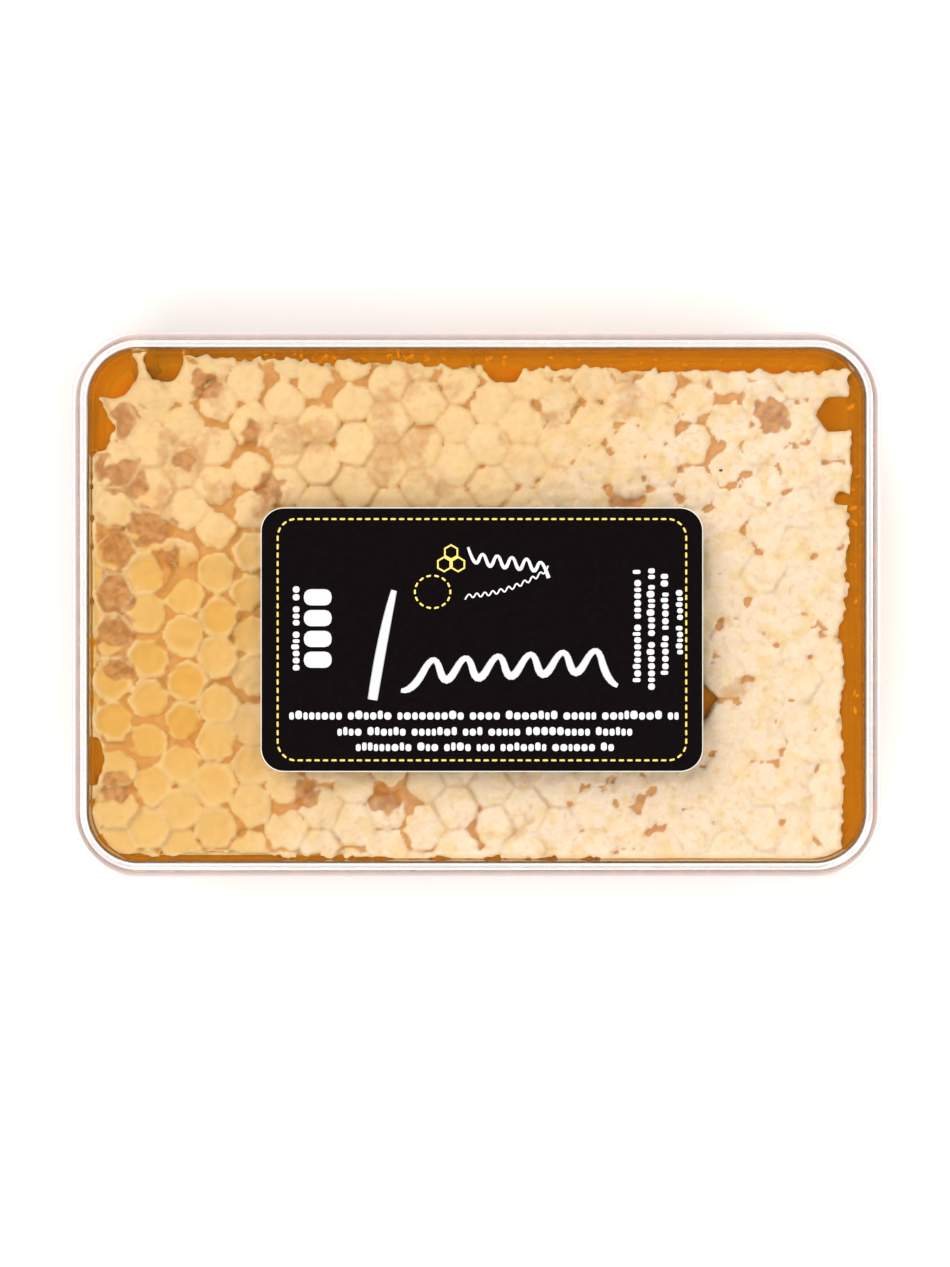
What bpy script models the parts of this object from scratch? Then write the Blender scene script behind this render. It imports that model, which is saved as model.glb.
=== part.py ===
"""A piece of cut honeycomb in its own loose honey, in a clear lidded plastic box with a label on the lid.

Metres, +Z up. The origin is at the middle of the flat underside, with the box's length along X.
The comb lies flat: its capped cells face up, its cut edges stand against the walls of the tray.
"""

import math

import bmesh
import bpy
from mathutils import Matrix, Vector, noise

# Box, seen from above. Every inset below is measured inwards from the outer face of the lid's skirt.
BOX_LENGTH = 0.105
BOX_WIDTH = 0.0708
CORNER_RADIUS = 0.0086
CORNER_STEPS = 7
GAP = 0.0003

# Lid: a flat plate with a raised bead along its edge and a skirt that slips over the tray's rim
LID_TOP_Z = 0.028
LID_PANEL_Z = 0.0273
LID_UNDERSIDE_Z = 0.0263
SKIRT_BOTTOM_Z = 0.0200
SKIRT_THICKNESS = 0.0008
BEAD_WIDTH = 0.0015
EDGE_ROUND = 0.0003

# Tray: drafted walls, and a ledge that stops the skirt
RIM_Z = LID_UNDERSIDE_Z - GAP
WALL_THICKNESS = 0.0010
FLOOR_THICKNESS = 0.0012
DRAFT = 0.0008
LEDGE_HEIGHT = 0.0012
FOOT_ROUND = 0.0010

# Label: a paper rectangle stuck on the lid's panel, a little nearer to the front edge
LABEL_LENGTH = 0.0574
LABEL_WIDTH = 0.0343
LABEL_CORNER = 0.0030
LABEL_THICKNESS = 0.0002
LABEL_CENTRE = (0.0007, -0.0045)

# Comb: hexagonal cells in columns along Y, cut on four sides, with a midrib between its two layers
COLUMN_STEP = 0.00446
ROW_STEP = 0.00558
LATTICE_ORIGIN = (-0.03835, 0.00147)
COMB_BOTTOM_Z = FLOOR_THICKNESS + 0.0010
COMB_TOP_Z = 0.0232
COMB_CUTS = (
    # a point on each cut edge, and the direction that the cut faces
    ((-0.0493, 0.0, 0.0), (-1.0, 0.008, 0.0)),
    ((0.0479, 0.0, 0.0), (1.0, -0.020, 0.0)),
    ((0.0, 0.0313, 0.0), (0.024, 1.0, 0.0)),
    ((0.0, -0.0323, 0.0), (0.006, -1.0, 0.0)),
)
WARP = 0.0009
WARP_LENGTH = 0.0140
WARP_Y_SLICE = 7.0
SHORTEST_SIDE = 0.0014
SMALLEST_CELL = 0.12
CAPPED_CELL = 0.55
FILM = 0.0004
CAP_EDGE = 0.0007
CAP_RISE = 0.0004
CAP_SINK = -0.0003
CAP_UNEVEN = 0.0003
OPEN_CELL_DEPTH = 0.0030
# the middles of cells that tore away at the edge, and of cells without a cap
MISSING_CELLS = ((0.0033, 0.0313), (-0.0416, 0.0312), (-0.0462, 0.0285), (-0.0495, 0.0250), (0.0478, 0.0145))
OPEN_CELLS = ((0.0465, 0.0251), (0.0462, -0.0087), (0.0305, -0.0135), (0.0388, 0.0247))
CELL_MOUTH_SPAN = 0.0024
CELL_MOUTH_DEPTH = 0.0011
CAP_THICKNESS = 0.0011
MIDRIB_THICKNESS = 0.0012

# Honey: what has run out of the cut cells and fills the tray round the comb
HONEY_LEVEL_Z = 0.0222
HONEY_WALL_GAP = GAP

COLOURS = {
    # linear base colour, roughness, transmission
    "tray": ((0.90, 0.92, 0.93), 0.06, 1.0),
    "lid": ((0.90, 0.92, 0.93), 0.06, 1.0),
    "label": ((0.006, 0.003, 0.004), 0.40, 0.0),
    "comb": ((0.95, 0.62, 0.27), 0.45, 0.0),
    "honey": ((0.60, 0.16, 0.005), 0.05, 0.6),
}


def clear_scene():
    for obj in list(bpy.data.objects):
        bpy.data.objects.remove(obj, do_unlink=True)


def new_collection(name):
    collection = bpy.data.collections.new(name)
    bpy.context.scene.collection.children.link(collection)
    return collection


def material_of(name):
    colour, roughness, transmission = COLOURS[name]
    material = bpy.data.materials.new(name)
    material.use_nodes = True
    shader = material.node_tree.nodes["Principled BSDF"]
    shader.inputs["Base Color"].default_value = (*colour, 1.0)
    shader.inputs["Roughness"].default_value = roughness
    shader.inputs["Metallic"].default_value = 0.0
    shader.inputs["Transmission Weight"].default_value = transmission
    return material


def finish(bm, name, collection):
    """Turns a bmesh into a named object with its own material."""
    bmesh.ops.recalc_face_normals(bm, faces=bm.faces)
    mesh = bpy.data.meshes.new(name)
    bm.to_mesh(mesh)
    bm.free()
    obj = bpy.data.objects.new(name, mesh)
    collection.objects.link(obj)
    if name in COLOURS:
        mesh.materials.append(material_of(name))
    return obj


def closed_loop(bm, points):
    return [bm.verts.new(point) for point in points]


def bridge(bm, loops):
    """Joins each loop to the next one, point to point, with a band of faces."""
    for first, second in zip(loops, loops[1:]):
        for i in range(len(first)):
            bm.faces.new((first[i - 1], first[i], second[i], second[i - 1]))


def box_outline(inset, z):
    """A rounded rectangle that lies this far inside the skirt's outer face, at height z."""
    points = []
    for quarter, (side_x, side_y) in enumerate(((1, 1), (-1, 1), (-1, -1), (1, -1))):
        centre_x = side_x * (BOX_LENGTH / 2 - CORNER_RADIUS)
        centre_y = side_y * (BOX_WIDTH / 2 - CORNER_RADIUS)
        for step in range(CORNER_STEPS + 1):
            angle = math.radians(90) * (quarter + step / CORNER_STEPS)
            reach = CORNER_RADIUS - inset
            points.append((centre_x + reach * math.cos(angle), centre_y + reach * math.sin(angle), z))
    return points


def swept_profile(name, profile, collection):
    """A closed body from (inset, z) steps carried round the box, with a flat face inside its first and last."""
    bm = bmesh.new()
    loops = [closed_loop(bm, box_outline(inset, z)) for inset, z in profile]
    bridge(bm, loops)
    bm.faces.new(loops[0])
    bm.faces.new(loops[-1])
    return finish(bm, name, collection)


def make_lid(collection):
    profile = (
        # underside of the plate, down inside the skirt
        (SKIRT_THICKNESS + EDGE_ROUND, LID_UNDERSIDE_Z),
        (SKIRT_THICKNESS, LID_UNDERSIDE_Z - EDGE_ROUND),
        (SKIRT_THICKNESS, SKIRT_BOTTOM_Z),
        # up the outside, over the bead and on to the panel
        (0.0, SKIRT_BOTTOM_Z),
        (0.0, LID_TOP_Z - 2 * EDGE_ROUND),
        (EDGE_ROUND / 2, LID_TOP_Z - EDGE_ROUND / 2),
        (2 * EDGE_ROUND, LID_TOP_Z),
        (BEAD_WIDTH - EDGE_ROUND, LID_TOP_Z),
        (BEAD_WIDTH, LID_TOP_Z - EDGE_ROUND),
        (BEAD_WIDTH + EDGE_ROUND, LID_PANEL_Z),
    )
    return swept_profile("lid", profile, collection)


def tray_insets():
    """How far in the tray's outer face and its inner face stand at the rim."""
    outer = SKIRT_THICKNESS + GAP
    return outer, outer + WALL_THICKNESS


def make_tray(collection):
    outer, inner = tray_insets()
    ledge_top = SKIRT_BOTTOM_Z - GAP
    ledge_bottom = ledge_top - LEDGE_HEIGHT
    foot = outer + DRAFT
    heel = inner + DRAFT
    profile = (
        # underside, round the foot and up the drafted wall
        (foot + FOOT_ROUND, 0.0),
        (foot + EDGE_ROUND, EDGE_ROUND),
        (foot, FOOT_ROUND),
        (outer, ledge_bottom),
        # ledge under the skirt
        (GAP, ledge_bottom),
        (GAP, ledge_top),
        (outer, ledge_top),
        # rim, and down the inside to the floor
        (outer, RIM_Z - EDGE_ROUND),
        (outer + EDGE_ROUND, RIM_Z),
        (inner - EDGE_ROUND, RIM_Z),
        (inner, RIM_Z - EDGE_ROUND),
        (heel, FLOOR_THICKNESS + FOOT_ROUND),
        (heel + EDGE_ROUND, FLOOR_THICKNESS + EDGE_ROUND),
        (heel + FOOT_ROUND, FLOOR_THICKNESS),
    )
    return swept_profile("tray", profile, collection)


def make_label(collection):
    """A rectangle with its four upright edges rounded, just above the lid's panel."""
    bm = bmesh.new()
    bmesh.ops.create_cube(bm, size=1.0)
    bmesh.ops.scale(bm, vec=(LABEL_LENGTH, LABEL_WIDTH, LABEL_THICKNESS), verts=bm.verts)
    upright = [edge for edge in bm.edges if abs(edge.verts[0].co.z - edge.verts[1].co.z) > GAP / 2]
    bmesh.ops.bevel(
        bm, geom=upright, offset=LABEL_CORNER, segments=4, profile=0.5, affect="EDGES", material=-1
    )
    height = LID_PANEL_Z + GAP + LABEL_THICKNESS / 2
    bmesh.ops.translate(bm, vec=(*LABEL_CENTRE, height), verts=bm.verts)
    return finish(bm, "label", collection)


def hexagon_sheet(bm):
    """A sheet of hexagons that share their sides, with corners towards +X and -X."""
    radius = COLUMN_STEP / 1.5
    stretch = ROW_STEP / (math.sqrt(3) * radius)
    turn = Matrix.Diagonal((1.0, stretch, 1.0, 1.0)) @ Matrix.Rotation(math.radians(30), 4, "Z")
    columns = math.ceil(BOX_LENGTH / COLUMN_STEP)
    rows = math.ceil(BOX_WIDTH / ROW_STEP)
    for column in range(-columns, columns + 1):
        for row in range(-rows, rows + 1):
            x = LATTICE_ORIGIN[0] + column * COLUMN_STEP
            y = LATTICE_ORIGIN[1] + (row + 0.5 * (column % 2)) * ROW_STEP
            if abs(x) < 0.55 * BOX_LENGTH and abs(y) < 0.60 * BOX_WIDTH:
                place = Matrix.Translation((x, y, COMB_TOP_Z)) @ turn
                bmesh.ops.create_circle(bm, cap_ends=True, segments=6, radius=radius, matrix=place)
    bmesh.ops.remove_doubles(bm, verts=bm.verts, dist=0.05 * radius)


def warped(point):
    """Bees don't build to a ruler: the cells drift sideways over a few centimetres."""
    place = Vector((point.x, point.y, 0.0)) / WARP_LENGTH
    drift_x = noise.noise(place)
    drift_y = noise.noise(place + Vector((0.0, 0.0, WARP_Y_SLICE)))
    return Vector((point.x + WARP * drift_x, point.y + WARP * drift_y, point.z))


def held_in(point):
    """A point that lies too near the tray's wall is pressed back, so that a film of honey fits behind it."""
    inset = tray_insets()[1] + DRAFT / 4 + GAP + FILM + GAP
    core_x = BOX_LENGTH / 2 - CORNER_RADIUS
    core_y = BOX_WIDTH / 2 - CORNER_RADIUS
    core = Vector((min(max(point.x, -core_x), core_x), min(max(point.y, -core_y), core_y), point.z))
    away = point - core
    reach = min(away.length, CORNER_RADIUS - inset)
    return core + away.normalized() * reach


def nearest_faces(faces, places):
    """For each place, the face whose middle is closest to it."""
    found = []
    for x, y in places:
        place = Vector((x, y, COMB_TOP_Z))
        found.append(min(faces, key=lambda face: (face.calc_center_median() - place).length))
    return found


def cut_sheet(bm):
    """The piece as a knife cuts it from the frame, less the slivers and the cells that tore away."""
    whole = max(face.calc_area() for face in bm.faces)
    for point, direction in COMB_CUTS:
        bmesh.ops.bisect_plane(
            bm,
            geom=bm.verts[:] + bm.edges[:] + bm.faces[:],
            dist=1e-6,
            plane_co=point,
            plane_no=direction,
            clear_outer=True,
        )
    bmesh.ops.remove_doubles(bm, verts=bm.verts, dist=SHORTEST_SIDE)
    lost = {face for face in bm.faces if face.calc_area() < SMALLEST_CELL * whole}
    lost.update(nearest_faces(bm.faces, MISSING_CELLS))
    for face in bm.faces:
        middle = face.calc_center_median()
        if (middle - held_in(middle)).length > CAP_EDGE:
            lost.add(face)
    bmesh.ops.delete(bm, geom=list(lost), context="FACES")
    for vert in bm.verts:
        vert.co = held_in(warped(vert.co))
    return whole


def raise_caps(bm, whole):
    """Each cell gets a cap inside its walls: sunken on the left, domed on the right, or a deep open cell."""
    capped = [face for face in bm.faces if face.calc_area() > CAPPED_CELL * whole]
    opened = nearest_faces(capped, OPEN_CELLS)
    bmesh.ops.inset_individual(bm, faces=capped, thickness=CAP_EDGE)
    for face in capped:
        middle = face.calc_center_median()
        across = min(max(middle.x / BOX_LENGTH + 0.65, 0.0), 1.0)
        lift = CAP_SINK + (CAP_RISE - CAP_SINK) * across + CAP_UNEVEN * noise.noise(middle / ROW_STEP)
        if face in opened:
            lift = -OPEN_CELL_DEPTH
        bmesh.ops.translate(bm, vec=(0.0, 0.0, lift), verts=face.verts)


def split_cut_edges(bm):
    """Adds a vertex in the middle of each cell that a cut runs through."""
    long_edges = [edge for edge in bm.edges if edge.is_boundary and edge.calc_length() > CELL_MOUTH_SPAN]
    split = bmesh.ops.subdivide_edges(bm, edges=long_edges, cuts=1)
    return {item for item in split["geom_inner"] if isinstance(item, bmesh.types.BMVert)}


def boundary_loop(bm):
    """The sheet's outer vertices in order."""
    first = next(edge for edge in bm.edges if edge.is_boundary)
    loop = [first.verts[0], first.verts[1]]
    while True:
        onward = next(
            edge for edge in loop[-1].link_edges if edge.is_boundary and edge.other_vert(loop[-1]) != loop[-2]
        )
        vert = onward.other_vert(loop[-1])
        if vert == loop[0]:
            return loop
        loop.append(vert)


def outward_normals(points):
    """The direction square to the outline at each of its points, away from the middle of the piece."""
    area = sum(a.x * b.y - b.x * a.y for a, b in zip(points, points[1:] + points[:1]))
    turn = 1.0 if area > 0 else -1.0
    normals = []
    for before, after in zip(points[-1:] + points[:-1], points[1:] + points[:1]):
        along = (after - before).normalized()
        normals.append(Vector((turn * along.y, -turn * along.x, 0.0)))
    return normals


def make_comb(collection):
    """Two layers of cells back to back. Where the knife opened a cell, its side is a hollow in the wall."""
    bm = bmesh.new()
    hexagon_sheet(bm)
    whole = cut_sheet(bm)
    raise_caps(bm, whole)
    mouths = split_cut_edges(bm)
    rim = boundary_loop(bm)
    outline = [vert.co.copy() for vert in rim]
    hollow = [CELL_MOUTH_DEPTH if vert in mouths else 0.0 for vert in rim]
    normals = outward_normals(outline)
    middle_z = (COMB_TOP_Z + COMB_BOTTOM_Z) / 2
    levels = (
        # height of each ring of the side, and whether the cells' mouths are hollowed there
        (COMB_TOP_Z - CAP_THICKNESS, 1.0),
        (middle_z + MIDRIB_THICKNESS, 1.0),
        (middle_z, 0.0),
        (middle_z - MIDRIB_THICKNESS, 1.0),
        (COMB_BOTTOM_Z + CAP_THICKNESS, 1.0),
        (COMB_BOTTOM_Z, 0.0),
    )
    loops = [rim]
    for z, hollowed in levels:
        inwards = DRAFT * (COMB_TOP_Z - z) / (RIM_Z - FLOOR_THICKNESS)
        points = [
            Vector((point.x, point.y, z)) - normal * (inwards + depth * hollowed)
            for point, normal, depth in zip(outline, normals, hollow)
        ]
        loops.append(closed_loop(bm, points))
    bridge(bm, loops)
    bm.faces.new(loops[-1])
    return finish(bm, "comb", collection), outline


def make_honey(outline, collection, cutters):
    """Fills the tray up to its level, with room for the comb."""
    inner = tray_insets()[1] + HONEY_WALL_GAP
    heel = inner + DRAFT
    slope = DRAFT / (RIM_Z - FLOOR_THICKNESS)
    profile = (
        (heel + FOOT_ROUND, FLOOR_THICKNESS + GAP),
        (heel + EDGE_ROUND, FLOOR_THICKNESS + GAP + EDGE_ROUND),
        (heel, FLOOR_THICKNESS + GAP + FOOT_ROUND),
        (inner + slope * (RIM_Z - HONEY_LEVEL_Z), HONEY_LEVEL_Z),
    )
    honey = swept_profile("honey", profile, collection)

    bm = bmesh.new()
    roomy = [point + normal * GAP for point, normal in zip(outline, outward_normals(outline))]
    floor_z = COMB_BOTTOM_Z - GAP
    loops = [
        closed_loop(bm, [Vector((point.x, point.y, floor_z)) for point in roomy]),
        closed_loop(bm, [Vector((point.x, point.y, LID_TOP_Z)) for point in roomy]),
    ]
    bridge(bm, loops)
    bm.faces.new(loops[0])
    bm.faces.new(loops[-1])
    cutter = finish(bm, "comb_room", cutters)
    cutter.hide_render = True
    cutter.display_type = "WIRE"
    cut = honey.modifiers.new("room_for_comb", "BOOLEAN")
    cut.operation = "DIFFERENCE"
    cut.solver = "EXACT"
    cut.object = cutter
    return honey


clear_scene()
parts = new_collection("boxed_honeycomb")
cutters = new_collection("cutters")
cutters.hide_render = True
make_tray(parts)
make_lid(parts)
make_label(parts)
comb, comb_outline = make_comb(parts)
make_honey(comb_outline, parts, cutters)
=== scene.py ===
import math

import bmesh
import bpy
import numpy as np
from mathutils import Matrix, Vector, noise


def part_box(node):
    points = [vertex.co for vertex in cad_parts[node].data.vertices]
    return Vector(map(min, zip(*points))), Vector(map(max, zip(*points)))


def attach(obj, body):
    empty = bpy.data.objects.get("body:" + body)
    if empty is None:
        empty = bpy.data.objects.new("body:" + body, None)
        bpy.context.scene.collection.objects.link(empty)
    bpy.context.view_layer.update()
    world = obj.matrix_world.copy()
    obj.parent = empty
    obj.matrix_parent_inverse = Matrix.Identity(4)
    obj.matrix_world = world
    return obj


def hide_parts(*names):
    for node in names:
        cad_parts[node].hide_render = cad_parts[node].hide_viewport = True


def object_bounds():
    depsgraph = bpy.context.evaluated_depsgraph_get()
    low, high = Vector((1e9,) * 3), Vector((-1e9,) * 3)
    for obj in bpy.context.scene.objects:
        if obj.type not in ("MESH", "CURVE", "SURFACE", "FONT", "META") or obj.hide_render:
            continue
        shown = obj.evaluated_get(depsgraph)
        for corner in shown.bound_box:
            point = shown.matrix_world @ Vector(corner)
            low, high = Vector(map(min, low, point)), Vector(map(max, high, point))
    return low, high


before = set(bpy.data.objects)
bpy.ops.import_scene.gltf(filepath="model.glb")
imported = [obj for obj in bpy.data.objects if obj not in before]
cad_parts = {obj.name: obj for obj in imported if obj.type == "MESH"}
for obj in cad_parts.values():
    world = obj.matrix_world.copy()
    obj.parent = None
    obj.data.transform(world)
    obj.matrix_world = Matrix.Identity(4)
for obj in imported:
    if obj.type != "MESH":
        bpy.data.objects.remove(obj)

cad_low, cad_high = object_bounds()


# ---- Tray -----------------------------------------------------------------------------------
# The lower half of the box: a rectangular dish moulded in clear polystyrene, with drafted walls
# a millimetre thick and a narrow ledge outside, on which the lid's skirt comes to rest.

class Wire:
    """A value that runs through a material. Sums and products of wires add their own Math nodes."""

    def __init__(self, nodes, socket):
        self.nodes = nodes
        self.socket = socket

    def maths(self, operation, first, second):
        return self.nodes.node("ShaderNodeMath", {"operation": operation}, {0: first, 1: second})

    def __add__(self, other):
        return self.maths("ADD", self, other)

    def __sub__(self, other):
        return self.maths("SUBTRACT", self, other)

    def __rsub__(self, other):
        return self.maths("SUBTRACT", other, self)

    def __mul__(self, other):
        return self.maths("MULTIPLY", self, other)

    __radd__ = __add__
    __rmul__ = __mul__


class Nodes:
    """A node tree that grows by one node a call."""

    def __init__(self, tree):
        self.tree = tree

    def node(self, kind, settings, inputs, output=0):
        """Adds a node: its settings first, then the values or wires of its sockets."""
        made = self.tree.nodes.new(kind)
        for setting, value in settings.items():
            setattr(made, setting, value)
        for socket, value in inputs.items():
            if isinstance(value, Wire):
                self.tree.links.new(value.socket, made.inputs[socket])
            else:
                made.inputs[socket].default_value = value
        return Wire(self, made.outputs[output])


class Paint(Nodes):
    """A material under construction, with its main shader's fixed values set by name."""

    def __init__(self, name, **values):
        self.material = bpy.data.materials.new(name)
        self.material.use_nodes = True
        super().__init__(self.material.node_tree)
        self.shader = self.tree.nodes["Principled BSDF"]
        self.output = self.tree.nodes["Material Output"]
        self.surface = Wire(self, self.shader.outputs["BSDF"])
        for socket, value in values.items():
            self.shader.inputs[socket.replace("_", " ")].default_value = value

    def cloud(self, size, detail=2.0):
        """Soft noise from 0 to 1 with patches of this size, in metres."""
        place = self.node("ShaderNodeTexCoord", {}, {}, "Object")
        inputs = {"Vector": place, "Scale": 1.0 / size, "Detail": detail}
        return self.node("ShaderNodeTexNoise", {}, inputs, "Fac")

    def step(self, value, low, high):
        """0 where the value is below low, 1 above high, and smooth between."""
        inputs = {"Value": value, "From Min": low, "From Max": high}
        return self.node("ShaderNodeMapRange", {"interpolation_type": "SMOOTHSTEP"}, inputs)

    def mark(self, name):
        """A value kept on the mesh's own points."""
        return self.node("ShaderNodeAttribute", {"attribute_name": name}, {}, "Fac")

    def blend(self, factor, first, second):
        """The first colour, and as much of the second as the factor says."""
        return self.node("ShaderNodeMix", {"data_type": "RGBA"}, {0: factor, 6: first, 7: second}, 2)

    def bump(self, height, strength, distance):
        inputs = {"Height": height, "Strength": strength, "Distance": distance}
        return self.node("ShaderNodeBump", {}, inputs)

    def feed(self, **wires):
        for socket, wire in wires.items():
            self.tree.links.new(wire.socket, self.shader.inputs[socket.replace("_", " ")])

    def let_lamps_through(self, tint):
        """Clear stuff casts next to no shadow: to a lamp's ray it is only faintly tinted."""
        clear = self.node("ShaderNodeBsdfTransparent", {}, {"Color": tint})
        shadow = self.node("ShaderNodeLightPath", {}, {}, "Is Shadow Ray")
        self.cover(shadow, clear)

    def cover(self, share, layer):
        """Mixes this share of another shader over the surface so far."""
        self.surface = self.node("ShaderNodeMixShader", {}, {0: share, 1: self.surface, 2: layer})
        self.tree.links.new(self.surface.socket, self.output.inputs["Surface"])


def linear(red, green, blue):
    """A colour as a screen gives it, 0 to 255, in the light's own scale."""
    parts = []
    for value in (red, green, blue):
        part = value / 255
        parts.append(part / 12.92 if part < 0.04045 else ((part + 0.055) / 1.055) ** 2.4)
    return (*parts, 1.0)


def clear_plastic(name, painted_light_edge=False):
    plastic = Paint(
        name, Base_Color=linear(250, 251, 251), IOR=1.55, Transmission_Weight=1.0, Specular_IOR_Level=0.5
    )
    haze = plastic.cloud(0.012, 3.0)
    plastic.feed(Roughness=haze * 0.05 + 0.01)
    plastic.feed(Normal=plastic.bump(plastic.cloud(0.022, 1.0), 0.10, 0.0006))
    # painted light: on the lid, a pale diffuse layer over the outer rounded top edge stands in for the
    # bright band that light refracted through the clear edge makes there
    if painted_light_edge:
        edge_light_layer = plastic.node("ShaderNodeBsdfDiffuse", {}, {"Color": linear(252, 240, 240)})
        plastic.cover(plastic.mark("edge_light_mask") * 0.55, edge_light_layer)
    plastic.let_lamps_through(linear(252, 251, 251))
    return plastic.material


def finish_mesh(bm, name, material, flat_over=None):
    """Makes the bmesh an object at the origin. Faces over flat_over stay flat, the rest are smooth."""
    for face in bm.faces:
        face.smooth = flat_over is None or face.calc_area() < flat_over
    mesh = bpy.data.meshes.new(name)
    bm.to_mesh(mesh)
    bm.free()
    mesh.materials.append(material)
    piece = bpy.data.objects.new(name, mesh)
    bpy.context.scene.collection.objects.link(piece)
    return piece


def hold_flats(piece):
    """The large flat faces set the normals at their corners, so only the small roundings look round."""
    piece.modifiers.new("hold_flats", "WEIGHTED_NORMAL")


def edges_at(bm, height):
    return [edge for edge in bm.edges if all(abs(vert.co.z - height) < 1e-6 for vert in edge.verts)]


def face_at(bm, height):
    """The largest face that lies level at this height."""
    level = [face for face in bm.faces if all(abs(vert.co.z - height) < 1e-6 for vert in face.verts)]
    return max(level, key=lambda face: face.calc_area())


def upright_edges(edges, least):
    """Those that rise by more than least."""
    return [edge for edge in edges if abs(edge.verts[0].co.z - edge.verts[1].co.z) > least]


def round_edges(bm, edges, size, segments):
    return bmesh.ops.bevel(
        bm, geom=edges, offset=size, segments=segments, profile=0.5, affect="EDGES", material=-1
    )


def rounded_block(half_x, half_y, low, high, corner, draft=0.0, segments=18):
    """A block with its four upright edges rounded, and drawn in by draft at its foot."""
    bm = bmesh.new()
    bmesh.ops.create_cube(bm, size=2.0)
    bmesh.ops.scale(bm, vec=(half_x, half_y, (high - low) / 2), verts=bm.verts)
    bmesh.ops.translate(bm, vec=(0.0, 0.0, (high + low) / 2), verts=bm.verts)
    for vert in bm.verts:
        if vert.co.z < (high + low) / 2:
            vert.co.x *= 1 - draft / half_x
            vert.co.y *= 1 - draft / half_y
    round_edges(bm, upright_edges(bm.edges, (high - low) / 2), corner, segments)
    return bm


tray_low, tray_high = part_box("tray")
lid_low, lid_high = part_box("lid")
comb_low, comb_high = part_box("comb")
honey_low, honey_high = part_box("honey")

WALL = 0.0010
FLOOR = 0.0012
DRAFT = 0.0008
CORNER = 0.0086
LEDGE = 0.0008
LEDGE_HEIGHT = 0.0012
SKIRT_WALL = 0.0008
SKIRT_GAP = 0.0003
LIP_ROUNDING = 0.00025

rim_x = lid_high.x - SKIRT_WALL - SKIRT_GAP
rim_y = lid_high.y - SKIRT_WALL - SKIRT_GAP
rim_corner = CORNER - SKIRT_WALL - SKIRT_GAP
rim_z = tray_high.z
ledge_top = lid_low.z - SKIRT_GAP

bm = rounded_block(rim_x, rim_y, 0.0, rim_z, rim_corner, DRAFT)
round_edges(bm, edges_at(bm, 0.0), WALL, 4)
mouth = face_at(bm, rim_z)
bmesh.ops.inset_region(bm, faces=[mouth], thickness=WALL)
dished = bmesh.ops.extrude_face_region(bm, geom=[mouth])
bmesh.ops.delete(bm, geom=[mouth], context="FACES_ONLY")
for item in dished["geom"]:
    if isinstance(item, bmesh.types.BMVert):
        item.co.x *= 1 - DRAFT / rim_x
        item.co.y *= 1 - DRAFT / rim_y
        item.co.z = FLOOR
round_edges(bm, edges_at(bm, FLOOR), WALL, 4)
round_edges(bm, edges_at(bm, rim_z), LIP_ROUNDING, 2)
for height in (ledge_top, ledge_top - LEDGE_HEIGHT):
    everything = bm.verts[:] + bm.edges[:] + bm.faces[:]
    bmesh.ops.bisect_plane(bm, geom=everything, dist=1e-7, plane_co=(0, 0, height), plane_no=(0, 0, 1))


def from_core(point, half_x, half_y, corner):
    """The level step to this point from the core that a rounded rectangle is rounded about."""
    core_x = min(max(point.x, corner - half_x), half_x - corner)
    core_y = min(max(point.y, corner - half_y), half_y - corner)
    return Vector((point.x - core_x, point.y - core_y, 0.0))


bm.normal_update()
band = []
for face in bm.faces:
    middle = face.calc_center_median()
    at_ledge = ledge_top - LEDGE_HEIGHT < middle.z < ledge_top
    if at_ledge and face.normal.dot(from_core(middle, rim_x, rim_y, rim_corner)) > 0:
        band.append(face)
raised = bmesh.ops.extrude_face_region(bm, geom=band)
bmesh.ops.delete(bm, geom=band, context="FACES_ONLY")
for item in raised["geom"]:
    if isinstance(item, bmesh.types.BMVert):
        item.co += LEDGE * from_core(item.co, rim_x, rim_y, rim_corner).normalized()
bmesh.ops.recalc_face_normals(bm, faces=bm.faces)
box_tray = finish_mesh(bm, "box_tray", clear_plastic("tray_plastic"))
hold_flats(box_tray)
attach(box_tray, "root")
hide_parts("tray")


# ---- Comb: the bees' pattern ------------------------------------------------------------------
# A piece cut with a knife from a frame of natural comb: beeswax cells, one against the next, full
# of honey and closed with wax caps. The caps are laid one by one, so no two are quite alike.

COLUMN_STEP = 0.00446
ROW_STEP = 0.00558
LATTICE = (-0.03835, 0.00147)
dice = np.random.default_rng(12)

cell_places = []
for column in range(-6, 26):
    for row in range(-9, 9):
        x = LATTICE[0] + column * COLUMN_STEP
        y = LATTICE[1] + (row + 0.5 * (column % 2)) * ROW_STEP
        cell_places.append((x, y))
cells = np.array(cell_places) + dice.normal(0.0, 0.00026, (len(cell_places), 2))
cell_weight = dice.uniform(-0.00025, 0.00025, len(cells))
cell_tilt = dice.normal(0.0, 0.070, (len(cells), 2))
cell_lift = dice.uniform(-1.0, 1.0, len(cells))
cell_tint = dice.uniform(0.0, 1.0, len(cells))
cap_shift = dice.normal(0.0, 0.00026, (len(cells), 2))
cap_size = dice.uniform(-0.00018, 0.00018, len(cells))

# cells missing from the cut edge: the middle of each, and how far it reaches along x and along y
TORN_AWAY = (
    (-0.0478, 0.0305, 0.0035, 0.0034),
    (-0.0409, 0.0321, 0.0025, 0.0027),
    (0.0034, 0.0317, 0.0028, 0.0027),
    (0.0472, 0.0250, 0.0025, 0.0024),
    (0.0478, 0.0139, 0.0011, 0.0008),
    (-0.0502, -0.0202, 0.0016, 0.0032),
)
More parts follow.
